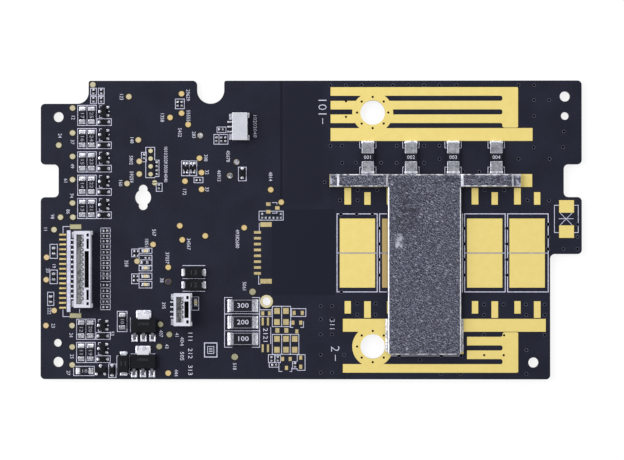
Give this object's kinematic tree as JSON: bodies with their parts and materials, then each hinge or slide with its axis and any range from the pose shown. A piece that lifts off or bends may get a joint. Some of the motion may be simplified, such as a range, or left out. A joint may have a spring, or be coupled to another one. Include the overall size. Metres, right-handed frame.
{
  "type": "battery management board",
  "caption": "Bare battery management circuit board with gold terminal combs, a T-shaped bus bar, current shunts, wafer sockets and small surface-mounted parts.",
  "frame": {"origin": "middle of the board's underside", "axes": "+X along the board's length from the control side to the power side, +Y across the board towards the battery terminal, +Z out of the populated face"},
  "size_m": [0.1388, 0.0766, 0.0058],
  "materials": {
    "solder_mask": "satin",
    "gold": "satin",
    "tin": "satin",
    "bar_metal": "satin",
    "white_plastic": "matte",
    "black_moulding": "matte",
    "chip_black": "matte",
    "chip_tan": "matte",
    "pin_metal": "satin"
  },
  "bodies": {
    "root": {"balance_diode_bodies": "black_moulding", "balance_diode_leads": "tin", "balance_resistor_bodies": "chip_black", "balance_resistor_caps": "tin", "balance_transistor_bodies": "black_moulding", "balance_transistor_leads": "tin", "battery_terminal_land": "gold", "bus_bar": "bar_metal", "bus_bar_solder": "tin", "bus_socket_housing": "white_plastic", "bus_socket_pins": "pin_metal", "bus_socket_tabs": "tin", "capacitor_bodies": "chip_tan", "capacitor_caps": "tin", "cell_socket_housing": "white_plastic", "cell_socket_pins": "pin_metal", "cell_socket_tabs": "tin", "circuit_board": "solder_mask", "clock_socket_housing": "white_plastic", "clock_socket_pins": "pin_metal", "clock_socket_tabs": "tin", "filter_chip_bodies": "chip_black", "filter_chip_caps": "tin", "header_pads": "gold", "large_test_pads": "gold", "load_resistor_bodies": "chip_black", "load_resistor_caps": "tin", "medium_resistor_bodies": "chip_black", "medium_resistor_caps": "tin", "pack_terminal_land": "gold", "plated_hole_ring": "gold", "power_diode_bodies": "black_moulding", "power_diode_leads": "tin", "regulator_bodies": "black_moulding", "regulator_leads": "tin", "shunt_ends": "tin", "shunt_middles": "chip_black", "shunt_rail_land": "gold", "signal_diode_bodies": "black_moulding", "signal_diode_leads": "tin", "signal_transistor_bodies": "black_moulding", "signal_transistor_leads": "tin", "small_resistor_bodies": "chip_black", "small_resistor_caps": "tin", "solder_bridge_lands": "gold", "spare_cell_socket_lands": "gold", "spare_part_lands": "gold", "spare_socket_lands": "gold", "surge_part_lands": "gold", "test_pads": "gold", "timing_chip_bodies": "chip_tan", "timing_chip_caps": "tin", "tinned_lands": "tin", "tinned_test_pads": "tin", "transistor_lands": "gold", "transistor_lead_lands": "gold"}
  },
  "joints": []
}
